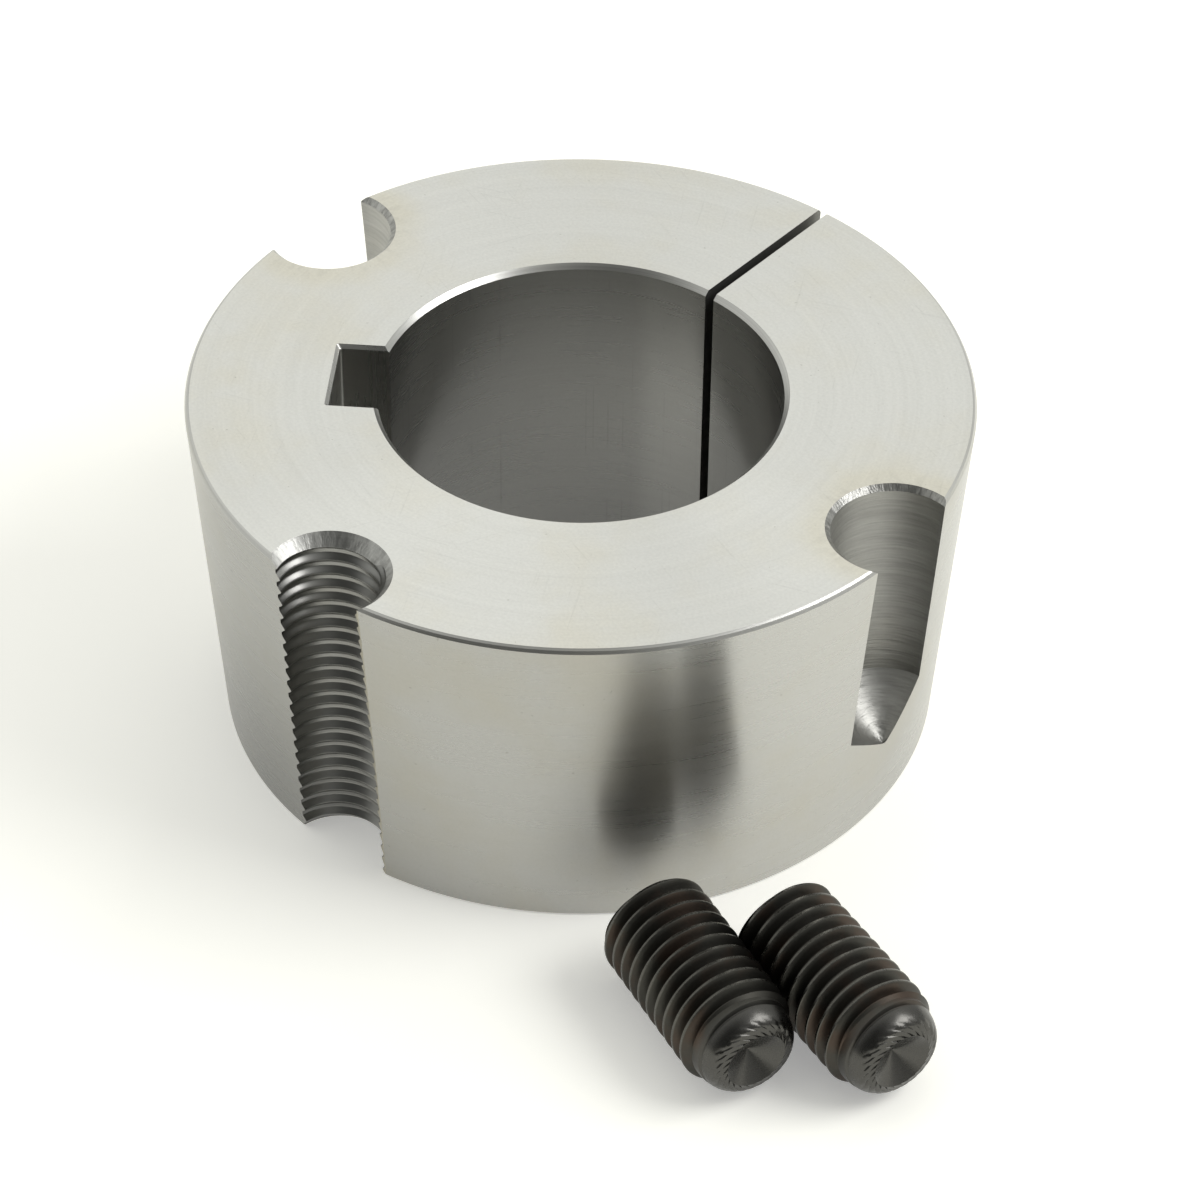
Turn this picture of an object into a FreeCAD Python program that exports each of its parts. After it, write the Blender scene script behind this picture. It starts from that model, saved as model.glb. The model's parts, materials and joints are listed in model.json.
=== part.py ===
import FreeCAD, Part

import math
import os

from FreeCAD import Placement, Rotation, Vector

# A taper bush: a split steel ring with a tapered outside that fits the matching tapered bore of a
# pulley or sprocket. Two set screws in the half-holes round its rim draw it in, the split closes,
# and the bore grips the shaft. The screws are out of their holes and lie beside the bush.
#
# Millimetres. The bore's axis is +Z, z = 0 is the small end that the bush stands on, and +Y points
# at the split. Bearings are angles about +Z, in degrees, counted from +X.

small = 0.1

# The ring
large_end_diameter = 107.95
bush_length = 50.8
taper_half_angle = 4.0
bore_diameter = 55.5625
bore_edge_chamfer = 0.7
large_rim_chamfer = 0.6
small_rim_chamfer = 0.25

# The saw cut through the wall
split_width = 1.45
split_bearing = 90.0

# The keyway in the bore
keyway_width = 12.7
keyway_floor_reach = 33.9
keyway_corner_radius = 0.4
keyway_edge_chamfer = 0.5
keyway_from_split = 125.5

# The half-holes round the rim, all on one circle
hole_circle_diameter = 101.6
plain_hole_diameter = 17.3
plain_hole_depth = 32.3
plain_hole_chamfer = 0.75
plain_hole_from_split = 85.0
drill_point_angle = 110.0
tapped_hole_from_split = 180.0
tap_drill_diameter = 13.5
tapped_hole_sink_diameter = 16.9

# The set screws
screw_diameter = 15.8
screw_length = 28.575
screw_end_chamfer = 1.0
nose_length = 4.7
nose_tip_radius = 5.35
nose_bands = 3
cup_rim_radius = 4.5
cup_rim_bevel = 0.3
cup_angle = 118.0
cup_floor_radius = 0.3
knurl_teeth = 24
knurl_depth = 0.4
knurl_width = 0.75
knurl_slant = 35.0
socket_flats = 7.94
socket_depth = 8.0
socket_drill_angle = 118.0

# The screws' thread, wound in flat stretches that touch its true diameters from outside
thread_pitch = 25.4 / 11
thread_depth = 1.45
thread_crest_flat = thread_pitch / 8
thread_facets = 24
screw_sides = 48

# Where the screws lie
left_screw_clearance = 6.15
left_screw_bearing = -40.5
left_screw_heading = -22.2
left_screw_roll = 7.5
right_screw_turns_ahead = 3.8
right_screw_turn = 3.75
right_screw_roll = 7.5
crest_to_root_gap = 0.4

large_end_radius = large_end_diameter / 2
bore_radius = bore_diameter / 2
screw_radius = screw_diameter / 2
taper_slope = math.tan(math.radians(taper_half_angle))
small_end_radius = large_end_radius - bush_length * taper_slope


def direction(bearing):
    """The level unit vector at a bearing."""
    angle = math.radians(bearing)
    return Vector(math.cos(angle), math.sin(angle), 0)


def turned(shape, bearing):
    """A shape modelled towards +X, turned about the bore's axis to its bearing."""
    shape.rotate(Vector(0, 0, 0), Vector(0, 0, 1), bearing)
    return shape


def revolved(outline):
    """The solid swept by an (r, z) outline turned once round the Z axis."""
    points = [Vector(r, 0, z) for r, z in outline]
    face = Part.Face(Part.makePolygon(points + points[:1]))
    return face.revolve(Vector(0, 0, 0), Vector(0, 0, 1), 360)


def tapered_ring():
    """The turned ring, with its edges broken by the lathe."""
    top_of_taper = large_end_radius - large_rim_chamfer * taper_slope
    foot_of_taper = small_end_radius + small_rim_chamfer * taper_slope
    return revolved([
        (bore_radius + bore_edge_chamfer, 0),
        (foot_of_taper - small_rim_chamfer, 0),
        (foot_of_taper, small_rim_chamfer),
        (top_of_taper, bush_length - large_rim_chamfer),
        (top_of_taper - large_rim_chamfer, bush_length),
        (bore_radius + bore_edge_chamfer, bush_length),
        (bore_radius, bush_length - bore_edge_chamfer),
        (bore_radius, bore_edge_chamfer),
    ])


def split_cut():
    """The slot that the saw leaves, from the bore out through the wall."""
    slot = Part.makeBox(large_end_radius + small, split_width, bush_length + 2 * small)
    slot.translate(Vector(0, -split_width / 2, -small))
    return turned(slot, split_bearing)


def rectangle(low, high, half_width, z):
    """A level rectangle from low to high along X."""
    corners = [(low, -half_width), (high, -half_width), (high, half_width), (low, half_width)]
    points = [Vector(x, y, z) for x, y in corners]
    return Part.makePolygon(points + points[:1])


def keyway_cut():
    """The broached key slot: rounded floor corners, and a bevel round its mouth at each end."""
    half = keyway_width / 2
    bevel = keyway_edge_chamfer
    slot = Part.makeBox(keyway_floor_reach, keyway_width, bush_length + 2 * small)
    slot.translate(Vector(0, -half, -small))
    floor_corners = [
        edge for edge in slot.Edges
        if edge.BoundBox.ZLength > bush_length and edge.BoundBox.XMin > keyway_floor_reach - small
    ]
    slot = slot.makeFillet(keyway_corner_radius, floor_corners)
    for face_z, inner_z in ((0, bevel), (bush_length, bush_length - bevel)):
        wide = rectangle(0, keyway_floor_reach + bevel, half + bevel, face_z)
        narrow = rectangle(0, keyway_floor_reach, half, inner_z)
        slot = slot.fuse(Part.makeLoft([wide, narrow], True, True))
    return turned(slot, split_bearing + keyway_from_split)


def hole_centre(from_split):
    """The bearing of a rim hole, and the offset of its axis from the bore's."""
    return split_bearing + from_split, Vector(hole_circle_diameter / 2, 0, 0)


def plain_hole_cut(from_split):
    """A drilled blind hole on the rim, with its drill point and a small countersink."""
    bearing, offset = hole_centre(from_split)
    radius = plain_hole_diameter / 2
    floor = bush_length - plain_hole_depth
    point_depth = radius / math.tan(math.radians(drill_point_angle / 2))
    cut = revolved([
        (0, floor - point_depth),
        (radius, floor),
        (radius, bush_length - plain_hole_chamfer),
        (radius + plain_hole_chamfer + small, bush_length + small),
        (0, bush_length + small),
    ])
    cut.translate(offset)
    return turned(cut, bearing)


def tapped_hole_cut():
    """The hole tapped right through the rim, at its drilled diameter, with its countersink."""
    bearing, offset = hole_centre(tapped_hole_from_split)
    core_radius = tap_drill_diameter / 2
    sink_radius = tapped_hole_sink_diameter / 2
    cut = revolved([
        (0, -small),
        (core_radius, -small),
        (core_radius, bush_length - sink_radius + core_radius),
        (sink_radius + small, bush_length + small),
        (0, bush_length + small),
    ])
    cut.translate(offset)
    return turned(cut, bearing)


def bush():
    """The finished ring."""
    ring = tapered_ring()
    cuts = [split_cut(), keyway_cut()]
    cuts += [plain_hole_cut(plain_hole_from_split), plain_hole_cut(-plain_hole_from_split)]
    cuts.append(tapped_hole_cut())
    return ring.cut(cuts)


def helix_line(radius, start, turns):
    """The corners of a line that winds up round Z in flat stretches, each touching the radius."""
    corner_radius = radius / math.cos(math.pi / thread_facets)
    corners = []
    for step in range(turns * thread_facets + 1):
        corner = direction(360 * step / thread_facets) * corner_radius
        corner.z = start + thread_pitch * step / thread_facets
        corners.append(corner)
    return corners


def flat_face(*corners):
    """The flat face with these corners."""
    return Part.Face(Part.makePolygon([*corners, corners[0]]))


def closed_solid(faces):
    """The solid that these faces close."""
    shell = Part.makeShell(faces)
    shell.sewShape()
    return Part.makeSolid(shell)


def winding_faces(low, high):
    """The faces between two lines that wind side by side."""
    faces = []
    for a, b, c, d in zip(low, low[1:], high[1:], high):
        faces += [flat_face(a, b, c), flat_face(a, c, d)]
    return faces


def threaded_rod(length):
    """A right-hand threaded rod that reaches past both ends of a length along Z."""
    turns = math.ceil(length / thread_pitch) + 2
    start = -1.5 * thread_pitch
    crest_start = start + (thread_pitch - thread_crest_flat) / 2
    root = helix_line(screw_radius - thread_depth, start, turns + 1)
    crest_low = helix_line(screw_radius, crest_start, turns)
    crest_high = helix_line(screw_radius, crest_start + thread_crest_flat, turns)
    root_low, root_high = root[:-thread_facets], root[thread_facets:]
    faces = winding_faces(root_low, crest_low)
    faces += winding_faces(crest_low, crest_high)
    faces += winding_faces(crest_high, root_high)
    for end, turn in ((0, root[:thread_facets + 1]), (-1, root[-thread_facets - 1:])):
        centre = Vector(0, 0, turn[end].z)
        faces += [flat_face(centre, a, b) for a, b in zip(turn, turn[1:])]
        faces.append(flat_face(centre, root_low[end], crest_low[end], crest_high[end], root_high[end]))
    return closed_solid(faces)


def many_sided(outline):
    """The solid through level rings of many flat sides, given as (r, z) from one end to the other."""
    rings = []
    for r, z in outline:
        corner_radius = r / math.cos(math.pi / screw_sides)
        ring = []
        for side in range(screw_sides + 1):
            ring.append(direction(360 * side / screw_sides) * corner_radius + Vector(0, 0, z))
        rings.append(ring)
    faces = [flat_face(*rings[0][:-1]), flat_face(*rings[-1][:-1])]
    for low, high in zip(rings, rings[1:]):
        faces += [flat_face(a, b, c, d) for a, b, c, d in zip(low, low[1:], high[1:], high)]
    return closed_solid(faces)


def screw_blank():
    """The outside of the screw: socket end at z = 0, a rounded nose, and the cup's rim at the top."""
    reach = screw_radius + small
    shoulder = screw_length - nose_length
    outline = [(screw_radius - screw_end_chamfer, 0), (reach, screw_end_chamfer + small)]
    for band in range(nose_bands + 1):
        turn = math.radians(90 * band / nose_bands)
        outline.append((
            nose_tip_radius + (reach - nose_tip_radius) * math.cos(turn),
            shoulder + (nose_length - cup_rim_bevel) * math.sin(turn),
        ))
    return many_sided(outline + [(cup_rim_radius, screw_length)])


def cup_cut():
    """The hollow of the cup point."""
    depth = (cup_rim_radius - cup_floor_radius) / math.tan(math.radians(cup_angle / 2))
    return many_sided([
        (cup_floor_radius, screw_length - depth),
        (cup_rim_radius, screw_length),
        (cup_rim_radius, screw_length + small),
    ])


def hex_socket_cuts():
    """The hexagon socket, and the cone that its drill leaves at the foot."""
    corner_radius = socket_flats / 2 / math.cos(math.radians(30))
    corners = [direction(60 * step) * corner_radius for step in range(6)]
    hexagon = Part.Face(Part.makePolygon(corners + corners[:1]))
    hexagon.translate(Vector(0, 0, -small))
    prism = hexagon.extrude(Vector(0, 0, socket_depth + small))
    drill_radius = socket_flats / 2 - small
    drill_depth = (drill_radius - cup_floor_radius) / math.tan(math.radians(socket_drill_angle / 2))
    foot = socket_depth + drill_depth
    return [prism, many_sided([(drill_radius, socket_depth - small), (drill_radius, socket_depth), (cup_floor_radius, foot)])]


def knurl_cuts():
    """The slanted teeth of the cup's rim, as notches to cut away."""
    half = knurl_width / 2
    reach = nose_tip_radius - cup_rim_radius + knurl_width
    corners = [(0, -knurl_depth), (half, small), (-half, small)]
    points = [Vector(-reach, y, z) for y, z in corners]
    notch = Part.Face(Part.makePolygon(points + points[:1])).extrude(Vector(2 * reach, 0, 0))
    notch.rotate(Vector(0, 0, 0), Vector(0, 0, 1), knurl_slant)
    notch.translate(Vector((nose_tip_radius + cup_rim_radius) / 2, 0, screw_length))
    return [turned(notch.copy(), 360 * tooth / knurl_teeth) for tooth in range(knurl_teeth)]


def set_screw():
    """A cup-point socket set screw, standing on its socket end."""
    blank = screw_blank().cut([cup_cut(), *hex_socket_cuts(), *knurl_cuts()])
    return blank.common(threaded_rod(screw_length)).Solids[0]


def laid_down(screw, end, heading, roll):
    """The screw laid on its thread, its socket end at a place and its point towards a heading."""
    place = Vector(end.x, end.y, screw_radius)
    to_level = Rotation(Vector(0, 1, 0), 90) * Rotation(Vector(0, 0, 1), roll)
    laid = screw.copy()
    laid.Placement = Placement(place, Rotation(Vector(0, 0, 1), heading) * to_level)
    return laid


def set_screws():
    """Both screws, lying thread in thread on the surface that the bush stands on."""
    screw = set_screw()
    left_end = direction(left_screw_bearing) * (large_end_radius + left_screw_clearance)
    along = direction(left_screw_heading)
    across = direction(left_screw_heading + 90)
    ahead = right_screw_turns_ahead * thread_pitch
    aside = 2 * screw_radius - thread_depth + crest_to_root_gap
    right_end = left_end + along * ahead + across * aside
    right_heading = left_screw_heading + right_screw_turn
    return {
        "set_screw_left": laid_down(screw, left_end, left_screw_heading, left_screw_roll),
        "set_screw_right": laid_down(screw, right_end, right_heading, right_screw_roll),
    }


os.makedirs("parts", exist_ok=True)
for name, shape in {"bush": bush(), **set_screws()}.items():
    shape.exportStep(f"parts/{name}.step")
    print(name, "solids", len(shape.Solids), "volume", round(shape.Volume, 1), "valid", shape.isValid())
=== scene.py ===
# %% [markdown]
# # A taper bush and its two set screws
# A taper bush is a split steel ring that clamps a pulley or a sprocket to a shaft. It is turned on a
# lathe, so most of its shape is a few straight lines spun about one axis, and the rest is cut away:
# the bore's keyway, one saw cut, and three half-holes in the rim. This scene builds those shapes the
# way a machinist does, and then gives each cut the marks that its tool leaves.
#
# Lengths are written in millimetres, because the parts were made to such sizes, and every mesh is
# turned into metres once it is finished. The bore's axis is Z, and +Y points at the saw cut. The
# ring's sizes come first, because its finishes follow the same edges and holes as its cuts do.

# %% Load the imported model
import json
import math

import bmesh
import bpy
from mathutils import Matrix, Vector

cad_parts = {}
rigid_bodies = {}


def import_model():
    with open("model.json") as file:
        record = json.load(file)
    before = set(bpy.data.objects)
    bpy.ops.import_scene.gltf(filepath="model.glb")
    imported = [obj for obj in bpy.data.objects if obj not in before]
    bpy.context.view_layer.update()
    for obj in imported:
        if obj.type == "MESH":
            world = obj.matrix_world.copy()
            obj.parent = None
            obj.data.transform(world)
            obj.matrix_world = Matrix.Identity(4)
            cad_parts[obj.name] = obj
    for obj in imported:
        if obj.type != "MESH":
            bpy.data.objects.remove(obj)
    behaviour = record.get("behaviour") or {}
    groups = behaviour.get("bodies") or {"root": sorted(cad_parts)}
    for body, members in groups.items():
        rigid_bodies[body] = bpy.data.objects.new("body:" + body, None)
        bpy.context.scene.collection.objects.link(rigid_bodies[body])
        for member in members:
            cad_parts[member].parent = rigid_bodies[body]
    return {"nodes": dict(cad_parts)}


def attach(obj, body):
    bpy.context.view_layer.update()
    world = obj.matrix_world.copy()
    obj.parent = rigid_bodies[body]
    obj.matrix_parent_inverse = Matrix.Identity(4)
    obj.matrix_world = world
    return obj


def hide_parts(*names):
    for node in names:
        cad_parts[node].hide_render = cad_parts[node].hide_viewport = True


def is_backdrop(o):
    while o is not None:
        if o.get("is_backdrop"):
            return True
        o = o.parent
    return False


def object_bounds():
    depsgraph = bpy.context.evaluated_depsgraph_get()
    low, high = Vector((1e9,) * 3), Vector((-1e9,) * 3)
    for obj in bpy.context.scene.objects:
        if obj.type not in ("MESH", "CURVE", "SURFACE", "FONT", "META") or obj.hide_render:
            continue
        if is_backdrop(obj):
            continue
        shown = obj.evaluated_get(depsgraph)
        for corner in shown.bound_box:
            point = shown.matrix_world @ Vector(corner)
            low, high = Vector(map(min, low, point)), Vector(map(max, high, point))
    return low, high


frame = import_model()
cad_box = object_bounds()
print("nodes in the frame:", sorted(frame["nodes"]))

# %% Sizes of the ring
MM = 0.001
BUSH_LENGTH = 50.8
LARGE_END_RADIUS = 53.975
TAPER_SLOPE = math.tan(math.radians(4.0))
BORE_RADIUS = 27.78125
BORE_CHAMFER = 0.7
LARGE_RIM_CHAMFER = 0.6
SMALL_RIM_CHAMFER = 0.25
SPLIT_BEARING = 90.0
SPLIT_WIDTH = 1.45
KEYWAY_BEARING = SPLIT_BEARING + 125.5
KEYWAY_WIDTH = 12.7
KEYWAY_FLOOR = 33.9
print("taper over the length:", round(BUSH_LENGTH * TAPER_SLOPE, 3), "mm on the radius")

# %% Sizes of the half-holes
HOLE_CIRCLE_RADIUS = 50.8
PLAIN_HOLE_BEARINGS = (SPLIT_BEARING + 85.0, SPLIT_BEARING - 85.0)
PLAIN_HOLE_RADIUS = 8.65
PLAIN_HOLE_DEPTH = 32.3
PLAIN_HOLE_CHAMFER = 0.75
TAPPED_HOLE_BEARING = SPLIT_BEARING + 180.0
TAPPED_ROOT_RADIUS = 7.5
TAPPED_CREST_RADIUS = 6.8
TAPPED_SINK_RADIUS = 8.45
PITCH = 25.4 / 11
print("thread pitch:", round(PITCH, 4), "mm")

# %% [markdown]
# ## Shader maths as plain expressions
# Every finish below is a small formula over the place on the steel: how far from the axis, how high,
# how far round. Written node by node such a formula is hard to read, so one small class wraps a
# socket and turns `+`, `-` and `*` into Math nodes. A second class holds one node tree and makes any
# other node from a type, its settings and its sockets. It serves the materials, the sky and, because
# Geometry Nodes count in the same way, the thread.

# %% A socket with arithmetic


class Field:
    """One output of a node tree, with ordinary arithmetic on it."""

    def __init__(self, nodes, socket):
        self.nodes = nodes
        self.socket = socket

    def maths(self, operation, *values):
        return self.nodes.maths(operation, *values)

    def __add__(self, other):
        return self.maths("ADD", self, other)

    def __radd__(self, other):
        return self.maths("ADD", other, self)

    def __sub__(self, other):
        return self.maths("SUBTRACT", self, other)

    def __rsub__(self, other):
        return self.maths("SUBTRACT", other, self)

    def __mul__(self, other):
        return self.maths("MULTIPLY", self, other)

    def __rmul__(self, other):
        return self.maths("MULTIPLY", other, self)

    def __truediv__(self, other):
        return self.maths("DIVIDE", self, other)

    def __pow__(self, other):
        return self.maths("POWER", self, other)

    def clamped(self):
        """Held between 0 and 1."""
        return self.maths("MINIMUM", self.maths("MAXIMUM", self, 0.0), 1.0)

    def ramp(self, low, high):
        """0 below low, 1 above high, and a smooth rise between."""
        return self.nodes.node("ShaderNodeMapRange", {"interpolation_type": "SMOOTHSTEP"},
                               {"Value": self, "From Min": low, "From Max": high})


print("sockets can be added, taken away, multiplied, divided and raised to a power")

# %% A node tree


class Nodes:
    """One node tree of any kind."""

    def __init__(self, tree):
        self.tree = tree
        self.tree.nodes.clear()

    def node(self, kind, settings=None, sockets=(), out=0):
        """Adds a node. Its sockets are given by name or in order, each a plain value or a Field."""
        made = self.tree.nodes.new(kind)
        for key, value in (settings or {}).items():
            setattr(made, key, value)
        pairs = sockets.items() if isinstance(sockets, dict) else enumerate(sockets)
        for key, value in pairs:
            if isinstance(value, Field):
                self.tree.links.new(value.socket, made.inputs[key])
            else:
                made.inputs[key].default_value = value
        return Field(self, made.outputs[out]) if made.outputs else None

    def outputs(self, field, names):
        """Several outputs of the node that one output belongs to."""
        return [Field(self, field.socket.node.outputs[name]) for name in names]

    def maths(self, operation, *values):
        return self.node("ShaderNodeMath", {"operation": operation}, values)

    def split(self, vector):
        return self.outputs(self.node("ShaderNodeSeparateXYZ", sockets=(vector,)), "XYZ")

    def join(self, x, y, z):
        return self.node("ShaderNodeCombineXYZ", sockets=(x, y, z))


print("node helper ready")

# %% A material


class Finish(Nodes):
    """One procedural material."""

    def __init__(self, name):
        self.material = bpy.data.materials.new(name)
        self.material.use_nodes = True
        super().__init__(self.material.node_tree)

    def place(self):
        """Where a point of the steel is, in millimetres, as (vector, x, y, z)."""
        metres = self.node("ShaderNodeTexCoord", out="Object")
        vector = self.node("ShaderNodeVectorMath", {"operation": "SCALE"},
                           {"Vector": metres, "Scale": 1 / MM})
        return (vector, *self.split(vector))

    def noise(self, vector, scale, detail=2.0, roughness=0.5):
        """Soft noise from 0 to 1, about 0.5 on average."""
        return self.node("ShaderNodeTexNoise", {"noise_dimensions": "3D"}, {
            "Vector": vector, "Scale": scale, "Detail": detail, "Roughness": roughness})

    def blend(self, share, low, high):
        """A colour between two colours."""
        return self.node("ShaderNodeMix", {"data_type": "RGBA"}, {0: share, 6: low, 7: high}, out=2)

    def metal(self, colour, roughness, height, depth, constants=None):
        """The surface shader: a metal, with its marks as a bump of so many millimetres."""
        bump = self.node("ShaderNodeBump", sockets={
            "Height": height, "Distance": depth * MM, "Strength": 1.0})
        shader = self.node("ShaderNodeBsdfPrincipled", sockets={
            "Base Color": colour, "Roughness": roughness, "Metallic": 1.0, "Normal": bump,
            **(constants or {})})
        self.node("ShaderNodeOutputMaterial", sockets={"Surface": shader})
        return self.material


def grey(level, warmth=0.0):
    """A steel colour: an even level, with more red and less blue the warmer it is."""
    return (level * (1 + warmth * 0.4), level, level * (0.97 - warmth), 1.0)


print("a bright steel:", [round(part, 3) for part in grey(0.6, 0.01)])

# %% [markdown]
# ## Turning on the lathe
# A turned part is an outline in the half-plane beside its axis, spun once round. The outline is a
# list of (radius, height) corners, and each stretch between two corners names its own finish, since a
# facing cut and a boring cut leave different marks. A spin modifier could do the same, but a few
# lines of mesh code keep one finish per stretch and close the poles with single points.

# %% Turning


def mesh_object(name, mesh, finishes):
    """Ends a bmesh as an object, in millimetres, with its finishes in its material slots."""
    data = bpy.data.meshes.new(name)
    bmesh.ops.recalc_face_normals(mesh, faces=mesh.faces)
    mesh.to_mesh(data)
    mesh.free()
    for finish in finishes:
        data.materials.append(finish)
    made = bpy.data.objects.new(name, data)
    bpy.context.scene.collection.objects.link(made)
    return made


def turned(name, outline, finishes, steps, closed=False):
    """Spins (r, z) corners about Z. One finish for all, or one for each stretch of the outline."""
    mesh = bmesh.new()
    angles = [math.tau * step / steps for step in range(steps)]
    rings = []
    for r, z in outline:
        spots = [(r * math.cos(a), r * math.sin(a), z) for a in angles] if r else [(0, 0, z)]
        rings.append([mesh.verts.new(spot) for spot in spots])
    slots = list(dict.fromkeys(finishes))
    stretches = list(zip(rings, rings[1:] + (rings[:1] if closed else [])))
    for number, (low, high) in enumerate(stretches):
        slot = slots.index(finishes[number % len(finishes)])
        for step in range(steps):
            here, there = step, (step + 1) % steps
            corners = [low[here % len(low)], low[there % len(low)],
                       high[there % len(high)], high[here % len(high)]]
            face = mesh.faces.new(list(dict.fromkeys(corners)))
            face.material_index = slot
    return mesh_object(name, mesh, slots)


print("lathe ready")

# %% Lofting and moving


def laid(points, z):
    """An outline of (x, y) points, laid level at a height."""
    return [(x, y, z) for x, y in points]


def lofted(name, rings, finish):
    """A closed solid through rings of equally many points, flat at both ends."""
    mesh = bmesh.new()
    rings = [[mesh.verts.new(spot) for spot in ring] for ring in rings]
    for low, high in zip(rings, rings[1:]):
        count = len(low)
        for here in range(count):
            there = (here + 1) % count
            mesh.faces.new([low[here], low[there], high[there], high[here]])
    mesh.faces.new(rings[0][::-1])
    mesh.faces.new(rings[-1])
    return mesh_object(name, mesh, [finish])


def moved(piece, offset=(0, 0, 0), bearing=0.0):
    """Shifts a mesh, then turns it about the bore's axis."""
    piece.data.transform(Matrix.Rotation(math.radians(bearing), 4, "Z") @ Matrix.Translation(offset))
    return piece


print("lofting ready")

# %% [markdown]
# ## Cutting
# Each cut is a boolean with the exact solver. The tool's finish travels with it, so the wall that a
# drill leaves gets the drill's marks with no further work. Once the last cut is made, edges sharper
# than a set angle are marked sharp and all faces are shaded smooth: the many narrow facets of a
# turned face read as one curve, while its rims stay crisp.

# %% Boolean cuts


def combined(piece, tools, operation):
    """piece after a boolean with each tool in turn. The tools are used up."""
    for tool in tools:
        cut = piece.modifiers.new("cut", "BOOLEAN")
        cut.operation = operation
        cut.solver = "EXACT"
        cut.material_mode = "TRANSFER"
        cut.object = tool
        bpy.context.view_layer.update()
        graph = bpy.context.evaluated_depsgraph_get()
        data = bpy.data.meshes.new_from_object(piece.evaluated_get(graph))
        piece.modifiers.clear()
        old = piece.data
        piece.data = data
        bpy.data.meshes.remove(old)
        bpy.data.objects.remove(tool)
    return piece


print("cutting ready")

# %% The closing of a mesh
SHARP_ANGLE = math.radians(28)
WELD = 0.0005


def finished(piece):
    """Welds a cut mesh, marks its sharp edges, shades it smooth and turns it into metres."""
    mesh = bmesh.new()
    mesh.from_mesh(piece.data)
    bmesh.ops.remove_doubles(mesh, verts=mesh.verts, dist=WELD)
    bmesh.ops.dissolve_degenerate(mesh, edges=mesh.edges, dist=WELD)
    for edge in mesh.edges:
        edge.smooth = len(edge.link_faces) == 2 and edge.calc_face_angle() < SHARP_ANGLE
    for face in mesh.faces:
        face.smooth = True
    open_edges = sum(len(edge.link_faces) != 2 for edge in mesh.edges)
    volume = mesh.calc_volume()
    mesh.to_mesh(piece.data)
    mesh.free()
    piece.data.transform(Matrix.Scale(MM, 4))
    triangles = sum(len(face.vertices) - 2 for face in piece.data.polygons)
    print(piece.name, "triangles", triangles, "open edges", open_edges, "volume", round(volume), "mm3")
    return piece


print("edges stay sharp above", round(math.degrees(SHARP_ANGLE)), "degrees")

# %% [markdown]
# ## The thread, by Geometry Nodes
# A thread is one tooth carried round a helix. The node tree below starts from a flat grid, rolls each
# row once round the axis and lets it climb by one pitch on the way, so the rows run along the thread
# and its crests stay crisp. The row's place within a pitch gives the radius: crest, flank or root,
# with the corners between them eased by a share. The first and last rows shrink to points on the axis
# and close the ends. One tree makes both threads here: the tap that is cut out of the ring, and the
# body of each screw.

# %% The inputs of the thread tree
THREAD_INPUTS = (
    ("Crest radius", "NodeSocketFloat"),
    ("Root radius", "NodeSocketFloat"),
    ("Pitch", "NodeSocketFloat"),
    ("Crest share", "NodeSocketFloat"),
    ("Root share", "NodeSocketFloat"),
    ("Rounding", "NodeSocketFloat"),
    ("Turns", "NodeSocketInt"),
    ("Rows per turn", "NodeSocketInt"),
    ("Steps round", "NodeSocketInt"),
    ("Finish", "NodeSocketMaterial"),
)


class ThreadTree(Nodes):
    """A node group with a named input for each size of a thread."""

    def __init__(self, name):
        super().__init__(bpy.data.node_groups.new(name, "GeometryNodeTree"))
        self.ids = {}
        for label, kind in THREAD_INPUTS:
            socket = self.tree.interface.new_socket(label, in_out="INPUT", socket_type=kind)
            self.ids[label] = socket.identifier
        self.tree.interface.new_socket("Geometry", in_out="OUTPUT", socket_type="NodeSocketGeometry")
        self.entry = self.tree.nodes.new("NodeGroupInput")

    def given(self, label):
        return Field(self, self.entry.outputs[label])


print("inputs of a thread:", ", ".join(label for label, kind in THREAD_INPUTS))

# %% The thread tree
WHOLE_TURN_MARGIN = 1e-4  # keeps a row that ends a turn from being counted to the turn before


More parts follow.
